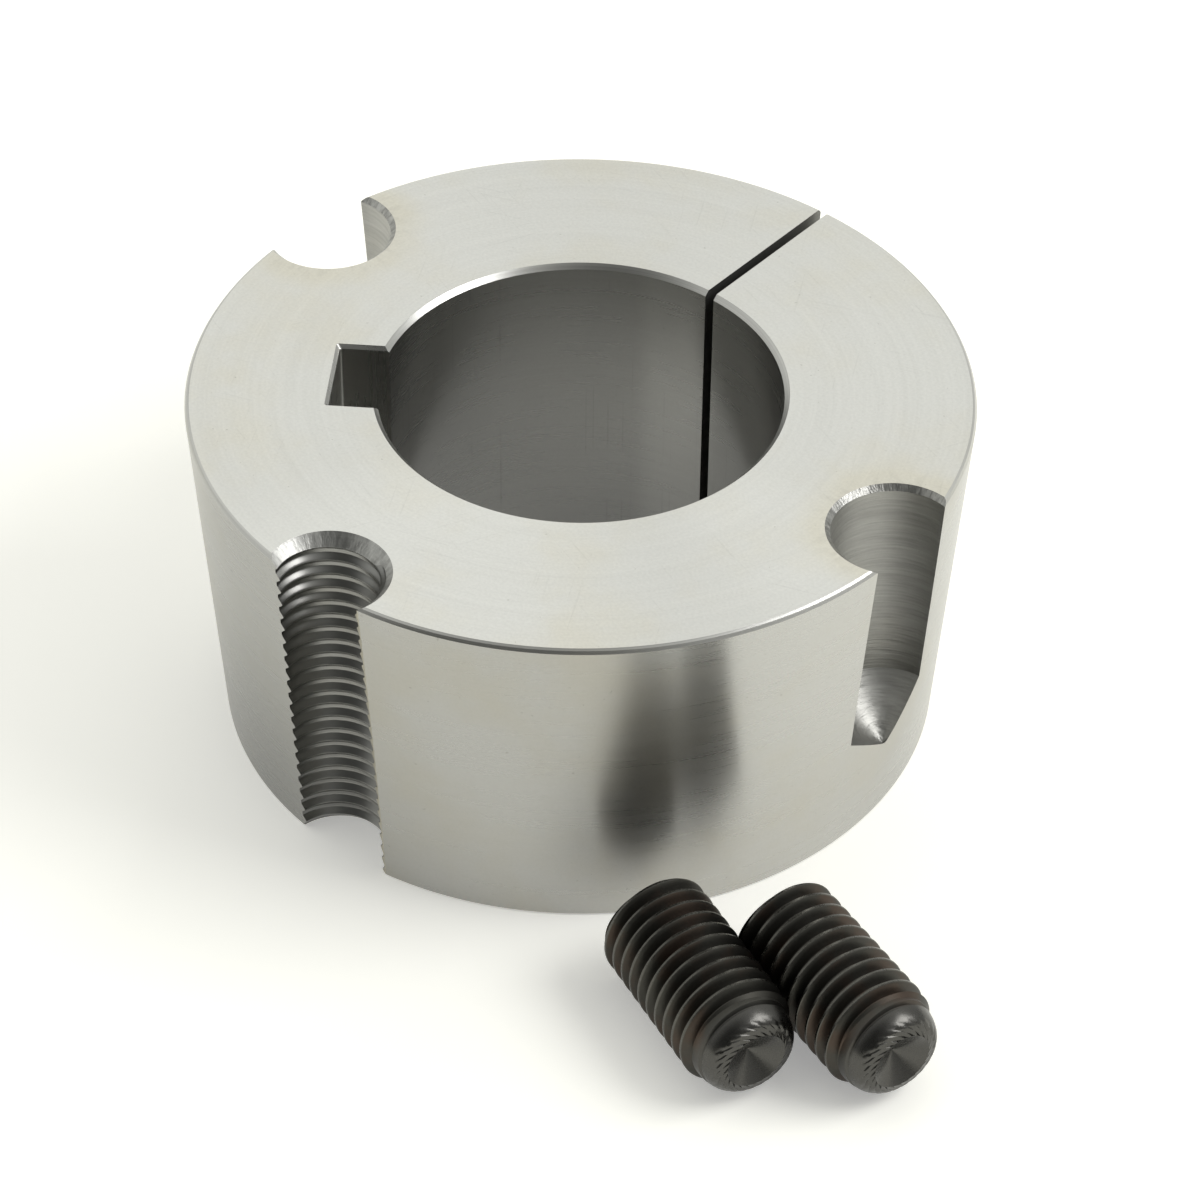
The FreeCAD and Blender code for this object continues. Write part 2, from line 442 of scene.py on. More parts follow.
def thread_tree():
    """The group that turns a grid into a closed threaded rod."""
    thread = ThreadTree("threaded rod")
    turns = thread.given("Turns")
    rows = thread.given("Rows per turn")
    root = thread.given("Root radius")

    # A flat grid, with one row for each line along the thread and one more at either end.
    last = turns * rows + 2.0
    grid = thread.node("GeometryNodeMeshGrid", sockets={
        "Size X": 1.0, "Size Y": 1.0,
        "Vertices X": thread.given("Steps round") + 1.0, "Vertices Y": last + 1.0})
    across, along = thread.split(thread.node("GeometryNodeInputPosition"))[:2]
    round_share = across + 0.5
    row = thread.maths("ROUND", (along + 0.5) * last)

    # The row's place within a pitch gives its height on the tooth: 0 in a root, 1 on a crest.
    climb = (row - 1.0) / rows
    phase = thread.maths("FRACT", climb + WHOLE_TURN_MARGIN)
    from_crest = thread.maths("ABSOLUTE", phase * 2.0 - 1.0)
    foot = 1.0 - thread.given("Root share")
    straight = ((foot - from_crest) / (foot - thread.given("Crest share"))).clamped()
    tooth = thread.node("ShaderNodeMix", {"data_type": "FLOAT"}, {
        0: thread.given("Rounding"), 2: straight, 3: straight.ramp(0.0, 1.0)})
    radius = root + (thread.given("Crest radius") - root) * tooth

    # The first and the last row have no radius, and lie a turn beyond the rest.
    above_first = thread.maths("GREATER_THAN", row, 0.5)
    below_last = thread.maths("LESS_THAN", row, last - 0.5)
    inside = above_first * below_last
    wound = (climb + round_share) * inside
    beyond = (turns + 2.0) * (1.0 - below_last)
    height = wound + (beyond + (above_first - 1.0))

    # Rolled up, welded along its seam and given its finish.
    angle = round_share * math.tau
    reach = radius * inside
    place = thread.join(reach * thread.maths("COSINE", angle), reach * thread.maths("SINE", angle),
                        height * thread.given("Pitch"))
    rolled = thread.node("GeometryNodeSetPosition", sockets={"Geometry": grid, "Position": place})
    welded = thread.node("GeometryNodeMergeByDistance", sockets={"Geometry": rolled, "Distance": WELD})
    real = thread.node("GeometryNodeRealizeInstances", sockets={"Geometry": welded})
    painted = thread.node("GeometryNodeSetMaterial", sockets={
        "Geometry": real, "Material": thread.given("Finish")})
    thread.node("NodeGroupOutput", sockets=(painted,))
    return thread


THREAD = thread_tree()
print("nodes in the thread tree:", len(THREAD.tree.nodes))

# %% A threaded rod


def threaded_rod(name, **given):
    """A closed threaded rod in millimetres, its lowest full turn starting at z = 0."""
    rod = bpy.data.objects.new(name, bpy.data.meshes.new(name))
    bpy.context.scene.collection.objects.link(rod)
    nodes = rod.modifiers.new("thread", "NODES")
    nodes.node_group = THREAD.tree
    for label, value in given.items():
        nodes[THREAD.ids[label.replace("_", " ")]] = value
    bpy.context.view_layer.update()
    graph = bpy.context.evaluated_depsgraph_get()
    data = bpy.data.meshes.new_from_object(rod.evaluated_get(graph))
    rod.modifiers.clear()
    rod.data = data
    mesh = bmesh.new()
    mesh.from_mesh(data)
    bmesh.ops.holes_fill(mesh, edges=[edge for edge in mesh.edges if edge.is_boundary], sides=0)
    bmesh.ops.recalc_face_normals(mesh, faces=mesh.faces)
    print(name, "faces", len(mesh.faces), "open", sum(edge.is_boundary for edge in mesh.edges))
    mesh.to_mesh(data)
    mesh.free()
    return rod


print("thread ready")

# %% [markdown]
# ## The marks that a tool leaves
# A cutting tool leaves lines: the steel changes quickly across them and hardly at all along them. So
# each finish needs one number that counts across its lines, and two that change slowly along them.
# For work done on the lathe the lines are circles, so the place along a line is the bearing, given as
# a cosine and a sine to have no seam. Broaching is straight, so its lines run up the keyway.

# %% Where the lines run
BROACH_DRIFT = 0.02


def about(x, y):
    """Distance from an axis, and the direction from it as a cosine and a sine."""
    distance = (x * x + y * y) ** 0.5
    return distance, x / distance, y / distance


def facing_lines(finish):
    x, y = finish.place()[1:3]
    return about(x, y)


def turning_lines(finish):
    x, y, z = finish.place()[1:]
    return z, *about(x, y)[1:]


def hole_lines(finish):
    """About both plain holes at once: they mirror each other across the split."""
    x, y = finish.place()[1:3]
    bearing = math.radians(PLAIN_HOLE_BEARINGS[1])
    sideways = finish.maths("ABSOLUTE", x) - HOLE_CIRCLE_RADIUS * math.cos(bearing)
    return about(sideways, y - HOLE_CIRCLE_RADIUS * math.sin(bearing))


def drilling_lines(finish):
    return finish.place()[3], *hole_lines(finish)[1:]


def tapping_lines(finish):
    x, y = finish.place()[1:3]
    return about(x, y + HOLE_CIRCLE_RADIUS)


def broaching_lines(finish):
    x, y, z = finish.place()[1:]
    bearing = math.radians(KEYWAY_BEARING)
    outward = x * math.cos(bearing) + y * math.sin(bearing)
    sideways = y * math.cos(bearing) - x * math.sin(bearing)
    return outward + sideways, z * BROACH_DRIFT, z * (BROACH_DRIFT / 2)


print("facing, turning, drilling, tapping and broaching lines ready")

# %% [markdown]
# ## One bright steel, cut many ways
# All bright faces are the same metal. What sets them apart is how coarse their lines are, how rough
# the metal is between them, and how clean it is. Fine lines also smear every reflection across
# themselves, which anisotropy stands for: it is a constant of the finish, as is its direction. Spots,
# scratches and a faint warm tarnish are added in small amounts, as on any bare steel that has been
# handled.

# %% Scratches
SCRATCH_BEARINGS = (20, 65, 118, 160)
SCRATCH_STRETCH = 0.06
SCRATCH_FINENESS = 2.2


def scratches(finish, place, x, y):
    """Thin straight marks in a few directions, where the face has been handled most."""
    marks = 0.0
    for number, bearing in enumerate(SCRATCH_BEARINGS):
        cosine, sine = math.cos(math.radians(bearing)), math.sin(math.radians(bearing))
        along = x * (cosine * SCRATCH_STRETCH) + y * (sine * SCRATCH_STRETCH)
        beside = y * (cosine * SCRATCH_FINENESS) - x * (sine * SCRATCH_FINENESS)
        line = finish.noise(finish.join(along, beside, number * 9.0), 1.0, 1.0).ramp(0.66, 0.72)
        marks = marks + line * finish.noise(place, 0.07 + 0.01 * number).ramp(0.48, 0.62)
    return marks


print("scratches run in", len(SCRATCH_BEARINGS), "directions")

# %% The bright steel
ACROSS_THE_LINES = 0.25


def bright_steel(name, lines, level, warmth=0.01, pitch=0.3, contrast=0.3, roughness=0.26, depth=0.002,
                 smear=0.0, tarnish=0.2, spots=0.15, wander=0.8, chatter=0.0, grain=0.02,
                 scratched=0.0, shade=None, stain=None):
    """Cut steel: a grey with the tool's lines in its colour, its roughness and its height."""
    finish = Finish(name)
    place, x, y = finish.place()[:3]

    # The tool's lines, fine and broad, and the metal's own grain between them.
    across, cosine, sine = lines(finish)
    fine = finish.noise(finish.join(across * (1 / pitch), cosine * wander, sine * wander), 1.0, 3.0)
    broad = finish.noise(finish.join(across * (0.22 / pitch), cosine, sine), 1.0, 2.0)
    cells = finish.noise(place, 2.4, 2.0)
    tone = 1.0 + (fine - 0.5) * contrast + (broad - 0.5) * contrast + (cells - 0.5) * (grain * 4)
    height = fine + broad * 0.6

    # A tool that chatters jumps from bearing to bearing.
    if chatter:
        jumps = finish.noise(finish.join(cosine * 9.0, sine * 9.0, across * 0.5), 1.0, 3.0, 0.7)
        jumps = jumps.ramp(0.35, 0.65)
        tone = tone + (jumps - 0.5) * chatter
        height = height + jumps * (chatter * 2)
    if scratched:
        tone = tone - scratches(finish, place, x, y) * scratched
    # A shade paints light and shade into the tone, and on the faced end real streaks as well.
    if shade:
        tone = tone * shade(finish)

    # Hands leave a warm tarnish in broad patches, and damp leaves small dark specks.
    handled = finish.noise(place, 0.045, 4.0, 0.6)
    warm = handled.ramp(0.42, 0.72) * tarnish
    if stain:
        warm = (warm + stain(finish)).clamped()
    clean = finish.blend(warm, grey(level, warmth), grey(level * 0.95, 0.09))
    toned = finish.node("ShaderNodeVectorMath", {"operation": "SCALE"}, {"Vector": clean, "Scale": tone})
    specks = finish.noise(place, 1.3, 1.0).ramp(0.74, 0.8) * finish.noise(place, 0.12).ramp(0.42, 0.58)
    colour = finish.blend(specks * spots, toned, grey(level * 0.35, 0.12))
    rough = roughness * (0.85 + fine * 0.15 + broad * 0.15) + handled * 0.04
    return finish.metal(colour, rough, height, depth, {
        "Anisotropic": smear, "Anisotropic Rotation": ACROSS_THE_LINES})


print("bright steel ready")

# %% [markdown]
# ## Painted light that keeps to a bearing
# Turned and faced steel throws light back in fans, because its lines run round the axis. A few such
# fans are too soft for the lines alone to give, so they are painted into the tone as painted light:
# each has a bearing, a half width in degrees and a gain. The same way, the bore gets a painted band of
# light beside the saw cut, the taper painted shade low on its left, the hole on the left a paler wall
# of painted light and a tapped thread painted shade in its roots. A countersink drags streaks and a
# stain out of its mouth, and these marks of the steel go into the tone too.

# %% Fans about the axis
# Painted light in fans on the large end, in the bore and on the taper, and painted shade low on the
# taper's left.
PAINTED_FACE_FANS = ((-74, 42, 0.1), (-9, 17, 0.03))
PAINTED_BORE_FANS = ((100, 15, 0.2),)
PAINTED_TAPER_FANS = ((-22, 34, 0.16),)
# Painted shade, low on the taper's left side.
PAINTED_SHADE_BEARING = -120
PAINTED_SHADE_WIDTH = 34
PAINTED_SHADE_HEIGHT = 42
PAINTED_SHADE_LOSS = 0.36


def toward_bearing(cosine, sine, bearing, width):
    """1 on a bearing about the axis, down to 0 at a width on either side."""
    turn = math.radians(bearing)
    facing = cosine * math.cos(turn) + sine * math.sin(turn)
    return facing.ramp(math.cos(math.radians(width)), 1.0)


def painted_fans(cosine, sine, fans):
    """A tone of 1, raised by painted light in each fan."""
    tone = 1.0
    for bearing, width, gain in fans:
        tone = tone + toward_bearing(cosine, sine, bearing, width) * gain
    return tone


def painted_bore_light(finish):
    """A painted band of light in the bore beside the saw cut."""
    return painted_fans(*turning_lines(finish)[1:], PAINTED_BORE_FANS)


def painted_taper_light_and_shade(finish):
    """Painted light on the taper's near right side, and painted shade low on its left."""
    height, cosine, sine = turning_lines(finish)
    low = 1.0 - height.ramp(0, PAINTED_SHADE_HEIGHT)
    painted_shade = toward_bearing(cosine, sine, PAINTED_SHADE_BEARING, PAINTED_SHADE_WIDTH) * low * PAINTED_SHADE_LOSS
    return painted_fans(cosine, sine, PAINTED_TAPER_FANS) - painted_shade


print("fans on the large end:", len(PAINTED_FACE_FANS))

# %% Shades round the holes
MOUTH_RADIUS = PLAIN_HOLE_RADIUS + PLAIN_HOLE_CHAMFER + 0.2
STREAK_RADIUS = 13.0
STREAK_LOSS = 0.07
STAIN_RADIUS = 15.0
STAIN_SHARE = 0.8
# Painted light on the wall of the hole on the left.
LEFT_HOLE_PAINTED_LIGHT = 0.35
ROOT_EDGE = 0.05
# Painted shade in the roots of the tapped thread.
ROOT_PAINTED_SHADE = 0.38


def painted_face_light_and_streaks(finish):
    """Painted light in fans, where facing lines throw light back, and short streaks that a countersink
    drags out of its mouth.
    """
    away, across, along = hole_lines(finish)
    streaks = finish.noise(finish.join(across * 9.0, along * 9.0, away * 0.3), 1.0, 2.0).ramp(0.45, 0.65)
    near = 1.0 - away.ramp(MOUTH_RADIUS, STREAK_RADIUS)
    return painted_fans(*facing_lines(finish)[1:], PAINTED_FACE_FANS) - streaks * near * STREAK_LOSS


def mouth_stain(finish):
    return (1.0 - hole_lines(finish)[0].ramp(MOUTH_RADIUS, STAIN_RADIUS)) * STAIN_SHARE


def painted_left_hole_light(finish):
    """Painted light: a paler wall in the hole on the left."""
    x = finish.place()[1]
    return 1.0 + (1.0 - x.ramp(-1, 1)) * LEFT_HOLE_PAINTED_LIGHT


def painted_root_shade(finish):
    """Painted shade in a tapped thread's roots; the crests, next to the hole's axis, keep their tone."""
    distance = tapping_lines(finish)[0]
    return 1.0 - distance.ramp(TAPPED_CREST_RADIUS, TAPPED_CREST_RADIUS + ROOT_EDGE) * ROOT_PAINTED_SHADE


print("streaks reach", round(STREAK_RADIUS - MOUTH_RADIUS, 1), "mm past the mouth of a half-hole")

# %% Finishes from the lathe
FACED = bright_steel("faced steel", facing_lines, level=0.585, contrast=0.1, roughness=0.34, smear=0.5,
                     tarnish=0.7, spots=0.4, scratched=0.05, grain=0.045, shade=painted_face_light_and_streaks,
                     stain=mouth_stain)
TURNED = bright_steel("turned steel", turning_lines, level=0.42, pitch=0.22, contrast=0.03, smear=0.65,
                      depth=0.00015, tarnish=0.7, spots=0.3, wander=0.4, shade=painted_taper_light_and_shade)
BORED = bright_steel("bored steel", turning_lines, level=0.315, contrast=0.08, smear=0.5, tarnish=0.1,
                     scratched=0.08, shade=painted_bore_light)
BEVELLED = bright_steel("bevelled steel", turning_lines, level=0.5, pitch=0.12, contrast=0.5,
                        roughness=0.3, smear=0.2, spots=0.0, depth=0.008)
print("lathe finishes:", [finish.name for finish in (FACED, TURNED, BORED, BEVELLED)])

# %% Finishes from the broach, the saw, the drill, the tap and the file
BROACHED = bright_steel("broached steel", broaching_lines, level=0.44, pitch=0.5, contrast=0.06)
SAWN = bright_steel("sawn steel", turning_lines, level=0.2, pitch=0.6, contrast=0.5, roughness=0.5,
                    tarnish=0.6)
DRILLED = bright_steel("drilled steel", drilling_lines, level=0.32, contrast=0.5, roughness=0.45,
                       depth=0.08, tarnish=0.3, wander=1.2, shade=painted_left_hole_light)
POINTED = bright_steel("drill point", drilling_lines, level=0.32, contrast=0.5, roughness=0.4,
                       depth=0.12, wander=1.2)
MOUTH = bright_steel("countersunk mouth", drilling_lines, level=0.36, roughness=0.34, depth=0.03,
                     chatter=0.6)
TAPPED = bright_steel("tapped steel", tapping_lines, level=0.42, pitch=0.12, contrast=0.15,
                      roughness=0.28, tarnish=0.3, shade=painted_root_shade)
COUNTERSUNK = bright_steel("countersunk steel", tapping_lines, level=0.4, depth=0.03, roughness=0.38,
                           chatter=0.35)
BURRED = bright_steel("broken edge", tapping_lines, level=0.46, warmth=0.14, pitch=0.25, roughness=0.5,
                      chatter=0.2)
print("bright finishes:", len(bpy.data.materials))

# %% [markdown]
# ## The ring
# First the turned ring, then the saw, the broach, the drill, the countersink and the tap, each as a
# closed solid of its own. The half-holes are whole holes whose axes lie close to the taper, so that
# the mating hub holds their other halves. The large rim is broken in two narrow bevels, because a
# worn edge catches the light twice.

# %% The turned ring
RING_STEPS = 720
LARGE_RIM_KNEE = (0.444, 0.308)  # where its two bevels meet, in and down, as shares of the chamfer


def turned_ring():
    """The ring as it leaves the lathe, with its edges broken."""
    top = LARGE_END_RADIUS - LARGE_RIM_CHAMFER * TAPER_SLOPE
    foot = LARGE_END_RADIUS - (BUSH_LENGTH - SMALL_RIM_CHAMFER) * TAPER_SLOPE
    inward, down = LARGE_RIM_KNEE
    outline = [
        (BORE_RADIUS + BORE_CHAMFER, 0),
        (foot - SMALL_RIM_CHAMFER, 0),
        (foot, SMALL_RIM_CHAMFER),
        (top, BUSH_LENGTH - LARGE_RIM_CHAMFER),
        (top - LARGE_RIM_CHAMFER * inward, BUSH_LENGTH - LARGE_RIM_CHAMFER * down),
        (top - LARGE_RIM_CHAMFER, BUSH_LENGTH),
        (BORE_RADIUS + BORE_CHAMFER, BUSH_LENGTH),
        (BORE_RADIUS, BUSH_LENGTH - BORE_CHAMFER),
        (BORE_RADIUS, BORE_CHAMFER),
    ]
    finishes = [FACED, BEVELLED, TURNED, BEVELLED, BEVELLED, FACED, BEVELLED, BORED, BEVELLED]
    return turned("taper_ring", outline, finishes, RING_STEPS, closed=True)


ring = turned_ring()
print("corners of the turned ring:", len(ring.data.vertices))

# %% The saw cut and the keyway
BEYOND = 0.5  # how far a tool reaches past what it cuts
KEYWAY_BEVEL = 0.5
KEYWAY_CORNER = 0.4
CORNER_STEPS = 4


def saw_slot():
    half = SPLIT_WIDTH / 2
    reach = LARGE_END_RADIUS + BEYOND
    outline = [(0, -half), (reach, -half), (reach, half), (0, half)]
    slot = lofted("saw", [laid(outline, -BEYOND), laid(outline, BUSH_LENGTH + BEYOND)], SAWN)
    return moved(slot, bearing=SPLIT_BEARING)


def keyway_outline(grown):
    """The slot seen along the bore, with round corners at its floor, grown outwards by a margin."""
    half = KEYWAY_WIDTH / 2 + grown
    floor = KEYWAY_FLOOR + grown
    points = [(BORE_RADIUS / 2, half), (BORE_RADIUS / 2, -half)]
    for side, start in ((-1, -90), (1, 0)):
        for step in range(CORNER_STEPS + 1):
            turn = math.radians(start + 90 / CORNER_STEPS * step)
            points.append((floor - KEYWAY_CORNER + KEYWAY_CORNER * math.cos(turn),
                           side * (half - KEYWAY_CORNER) + KEYWAY_CORNER * math.sin(turn)))
    return points


def keyway_slot():
    """The broached slot, wider at both ends where its edges are broken."""
    wide = keyway_outline(KEYWAY_BEVEL + BEYOND)
    narrow = keyway_outline(0)
    rings = [
        laid(wide, -BEYOND),
        laid(narrow, KEYWAY_BEVEL),
        laid(narrow, BUSH_LENGTH - KEYWAY_BEVEL),
        laid(wide, BUSH_LENGTH + BEYOND),
    ]
    return moved(lofted("broach", rings, BROACHED), bearing=KEYWAY_BEARING)


combined(ring, [saw_slot(), keyway_slot()], "DIFFERENCE")
print("faces after sawing and broaching:", len(ring.data.polygons))

# %% The plain half-holes
HOLE_STEPS = 144
DRILL_POINT_SLOPE = math.tan(math.radians(55.0))
POINT_FLAT = 0.05


def plain_hole(bearing):
    """A drilled blind hole with its drill point, and a small countersink at its mouth."""
    floor = BUSH_LENGTH - PLAIN_HOLE_DEPTH
    foot = floor - (PLAIN_HOLE_RADIUS - POINT_FLAT) / DRILL_POINT_SLOPE
    outline = [
        (0, foot),
        (POINT_FLAT, foot),
        (PLAIN_HOLE_RADIUS, floor),
        (PLAIN_HOLE_RADIUS, BUSH_LENGTH - PLAIN_HOLE_CHAMFER),
        (PLAIN_HOLE_RADIUS + PLAIN_HOLE_CHAMFER + BEYOND, BUSH_LENGTH + BEYOND),
        (0, BUSH_LENGTH + BEYOND),
    ]
    drill = turned("drill", outline, [POINTED, POINTED, DRILLED, MOUTH, MOUTH], HOLE_STEPS)
    return moved(drill, (HOLE_CIRCLE_RADIUS, 0, 0), bearing)


combined(ring, [plain_hole(bearing) for bearing in PLAIN_HOLE_BEARINGS], "DIFFERENCE")
print("faces after drilling:", len(ring.data.polygons))

# %% The countersink and the tap
TAP_START = -1.19  # in turns of the thread, so that its crests reach the top where they should


def tapped_hole():
    """The tools of the tapped half-hole, whose thread goes right through."""
    outline = [
        (0, BUSH_LENGTH - TAPPED_SINK_RADIUS),
        (TAPPED_SINK_RADIUS + BEYOND, BUSH_LENGTH + BEYOND),
        (0, BUSH_LENGTH + BEYOND),
    ]
    sink = turned("sink", outline, [COUNTERSUNK], HOLE_STEPS)
    tap = threaded_rod(
        "tap", Crest_radius=TAPPED_ROOT_RADIUS, Root_radius=TAPPED_CREST_RADIUS, Pitch=PITCH,
        Crest_share=0.26, Root_share=0.04, Rounding=0.2, Turns=math.ceil(BUSH_LENGTH / PITCH) + 2,
        Rows_per_turn=20, Steps_round=HOLE_STEPS, Finish=TAPPED)
    tap.data.transform(Matrix.Translation((0, 0, TAP_START * PITCH)))
    return [moved(tool, (HOLE_CIRCLE_RADIUS, 0, 0), TAPPED_HOLE_BEARING) for tool in (sink, tap)]


tools = tapped_hole()
print("tools of the tapped half-hole:", [tool.name for tool in tools])

# %% The filed edge
BURR_WIDTHS = (1.1, 1.4)
BURR_DEPTH = 0.7
BURR_WAVER = 0.07
BURR_WAVES = (2.3, 0.7)
BURR_STATIONS = 90


def right_edge(z):
    """Where the tapped half-hole's wall meets the taper on its right side."""
    rim = LARGE_END_RADIUS - (BUSH_LENGTH - z) * TAPER_SLOPE
    back = (rim ** 2 + HOLE_CIRCLE_RADIUS ** 2 - TAPPED_CREST_RADIUS ** 2) / (2 * HOLE_CIRCLE_RADIUS)
    return Vector((math.sqrt(rim ** 2 - back ** 2), -back))


def burr_width(station):
    """How wide the file cuts into the taper: wider towards the top, and not quite even."""
    low, high = BURR_WIDTHS
    quick, slow = BURR_WAVES
    waver = BURR_WAVER * math.sin(station * quick) * math.sin(station * slow)
    return low + (high - low) * (station / BURR_STATIONS) ** 2 + waver


def burr_file():
    """What a file takes off the tapped half-hole's right edge, by hand and so not quite evenly."""
    rings = []
    for station in range(BURR_STATIONS + 1):
        z = -BEYOND + (BUSH_LENGTH + 2 * BEYOND) * (station / BURR_STATIONS)
        edge = right_edge(z)
        outward = edge.normalized()
        aside = Vector((-outward.y, outward.x))
        wall = (Vector((0, -HOLE_CIRCLE_RADIUS)) - edge).normalized()
        inward = Vector((wall.y, -wall.x))
        on_taper = edge + aside * burr_width(station)
        on_wall = edge + inward * BURR_DEPTH
        corners = [on_taper, on_wall, on_wall + wall, edge + wall + outward, on_taper + outward]
        rings.append(laid(corners, z))
    return lofted("file", rings, BURRED)


combined(ring, [*tools, burr_file()], "DIFFERENCE")
finished(ring)
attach(ring, "root")
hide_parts("bush")

# %% [markdown]
# ## Black oxide
# The screws are blackened in a hot bath that leaves a thin dark layer with a soft shine. It keeps a
# brown cast in the thread's roots and wears to dark grey on its crests and its nose. These depend on
# the screw's own radius and not on where it lies, so each screw mesh carries its own coordinates as an
# attribute, and one finish serves both.

# %% Sizes of the screws
SCREW_RADIUS = 7.9
SCREW_ROOT_RADIUS = 6.45
SCREW_LENGTH = 28.575
SCREW_END_CHAMFER = 1.0
NOSE_START_RADIUS = 7.0
NOSE_TIP_RADIUS = 4.95
NOSE_LENGTH = 4.4
CUP_RIM_RADIUS = 4.2
CUP_BEVEL = 0.3
CUP_SLOPE = math.tan(math.radians(59.0))
print("turns of thread on a screw:", round((SCREW_LENGTH - NOSE_LENGTH) / PITCH, 1))

# %% The black finish
OWN_PLACE = "own_place"
CREST_WEAR = (0.16, 0.04)  # how far below the crests the wear begins, and where it is full
NOSE_WEAR_LENGTH = 2.2
BROWN_SHARE = 0.6
FLANK_COLOUR = (0.062, 0.06, 0.053, 1)
BROWN_COLOUR = (0.085, 0.058, 0.044, 1)
CREST_COLOUR = (0.105, 0.102, 0.092, 1)
NOSE_COLOUR = (0.085, 0.083, 0.078, 1)


def black_oxide(name):
    finish = Finish(name)
    place = finish.place()[0]
    own = finish.node("ShaderNodeAttribute", {"attribute_name": OWN_PLACE}, out="Vector")
    x, y, z = finish.split(own)
    radius = (x * x + y * y) ** 0.5
    shoulder = SCREW_LENGTH - NOSE_LENGTH
    nose = z.ramp(shoulder, shoulder + NOSE_WEAR_LENGTH)
    crest = radius.ramp(*(SCREW_RADIUS - depth for depth in CREST_WEAR))
    cloud = finish.noise(place, 0.14, 3.0)
    grain = finish.noise(own, 2.2, 3.0)
    brown = cloud.ramp(0.45, 0.65) * (1.0 - crest) * (1.0 - nose) * BROWN_SHARE
    flank = finish.blend(brown, FLANK_COLOUR, BROWN_COLOUR)
    rubbed = finish.blend(crest * (grain * 1.6).clamped(), flank, CREST_COLOUR)
    colour = finish.blend(nose, rubbed, NOSE_COLOUR)
    rough = 0.42 - (crest + nose).clamped() * 0.14 + (grain - 0.5) * 0.12
    return finish.metal(colour, rough, grain, 0.006)


BLACK = black_oxide("black oxide")
print("finish of both screws:", BLACK.name)

# %% [markdown]
# ## The set screws
# A screw is the threaded rod cut down to a turned blank: a chamfer at the socket end, a rounded nose
# and a cup point. Then the hexagon socket goes in, and slanted notches are cut round the cup's rim.
# The teeth between them bite into the hub and keep the screw from working loose. Both screws are one
# shape, laid down on their threads at two places.

# %% The screw blank
SCREW_STEPS = 144
NOSE_STEPS = 10
SKIN = 0.05


def screw_blank():
    """The outside of the screw, a hair outside the thread's crests so that they stay as rolled."""
    reach = SCREW_RADIUS + SKIN
    shoulder = SCREW_LENGTH - NOSE_LENGTH
    nose = [(reach, shoulder - (reach - NOSE_START_RADIUS))]
    for step in range(NOSE_STEPS + 1):
        turn = math.radians(90 / NOSE_STEPS * step)
        nose.append((NOSE_TIP_RADIUS + (NOSE_START_RADIUS - NOSE_TIP_RADIUS) * math.cos(turn),
                     shoulder + (NOSE_LENGTH - CUP_BEVEL) * math.sin(turn)))
    cup_foot = SCREW_LENGTH - (CUP_RIM_RADIUS - POINT_FLAT) / CUP_SLOPE
    outline = [(0, 0), (reach - SCREW_END_CHAMFER, 0), (reach, SCREW_END_CHAMFER), *nose,
               (CUP_RIM_RADIUS, SCREW_LENGTH), (POINT_FLAT, cup_foot), (0, cup_foot)]
    return turned("blank", outline, [BLACK], SCREW_STEPS)


print("steps round a screw:", SCREW_STEPS)

# %% The socket
SOCKET_FLATS = 7.94
SOCKET_DEPTH = 8.0
SOCKET_STEPS = 48
SOCKET_CONE_SHARE = 0.98


def socket_tool():
    """The hexagon socket with the drill's cone at its foot."""
    flats = SOCKET_FLATS / 2
    corner = flats / math.cos(math.radians(30))
    hexagon = [(corner * math.cos(math.radians(60 * k)), corner * math.sin(math.radians(60 * k)))
               for k in range(6)]
    prism = lofted("hexagon", [laid(hexagon, -BEYOND), laid(hexagon, SOCKET_DEPTH)], BLACK)
    wide = flats * SOCKET_CONE_SHARE
    outline = [(0, SOCKET_DEPTH - BEYOND), (wide, SOCKET_DEPTH - BEYOND), (wide, SOCKET_DEPTH),
               (0, SOCKET_DEPTH + flats / CUP_SLOPE)]
    cone = turned("socket foot", outline, [BLACK], SOCKET_STEPS)
    return combined(prism, [cone], "UNION")


print("socket:", SOCKET_FLATS, "mm across flats")

# %% The knurl
KNURL_TEETH = 24
KNURL_START = 4.25
KNURL_END = 6.3
KNURL_SWEEP = 36.0
KNURL_HALF_WIDTH = 8.5
KNURL_DEPTH = 0.2
KNURL_LEAN = 0.6
KNURL_STATIONS = 7


def nose_surface(r, share):
    """The height of the nose at a radius. The rim's bevel stands in for it inside the nose's tip."""
    if r < NOSE_TIP_RADIUS:
        return SCREW_LENGTH - CUP_BEVEL * share
    drop = (r - NOSE_TIP_RADIUS) / (NOSE_START_RADIUS - NOSE_TIP_RADIUS)
    return SCREW_LENGTH - CUP_BEVEL - (NOSE_LENGTH - CUP_BEVEL) * (1 - math.sqrt(1 - drop ** 2))


def knurl_tool(tooth):
    """One notch between two teeth: it starts in the cup, crosses the rim and dies out on the nose."""
    rings = []
    half = math.radians(KNURL_HALF_WIDTH)
    for step in range(KNURL_STATIONS):
        share = step / (KNURL_STATIONS - 1)
        r = KNURL_START + (KNURL_END - KNURL_START) * share
        bearing = math.radians(360 * tooth / KNURL_TEETH + KNURL_SWEEP * share)
        surface = nose_surface(r, share)
        lip = surface + SKIN * 3
        groove = surface - KNURL_DEPTH * (1 - share ** 2)
        corners = ((bearing - half, lip), (bearing + half * KNURL_LEAN, groove), (bearing + half, lip))
        rings.append([(r * math.cos(turn), r * math.sin(turn), z) for turn, z in corners])
    return lofted("notch", rings, BLACK)


print("notches round a cup:", KNURL_TEETH)

# %% The two screws
SCREW_THREAD_START = -1.5  # in turns of the thread
SCREWS = {
    "set_screw_left": {"end": (45.719, -39.048), "heading": -22.2, "roll": 7.5},
    "set_screw_right": {"end": (59.416, -28.707), "heading": -18.45, "roll": 7.5},
}


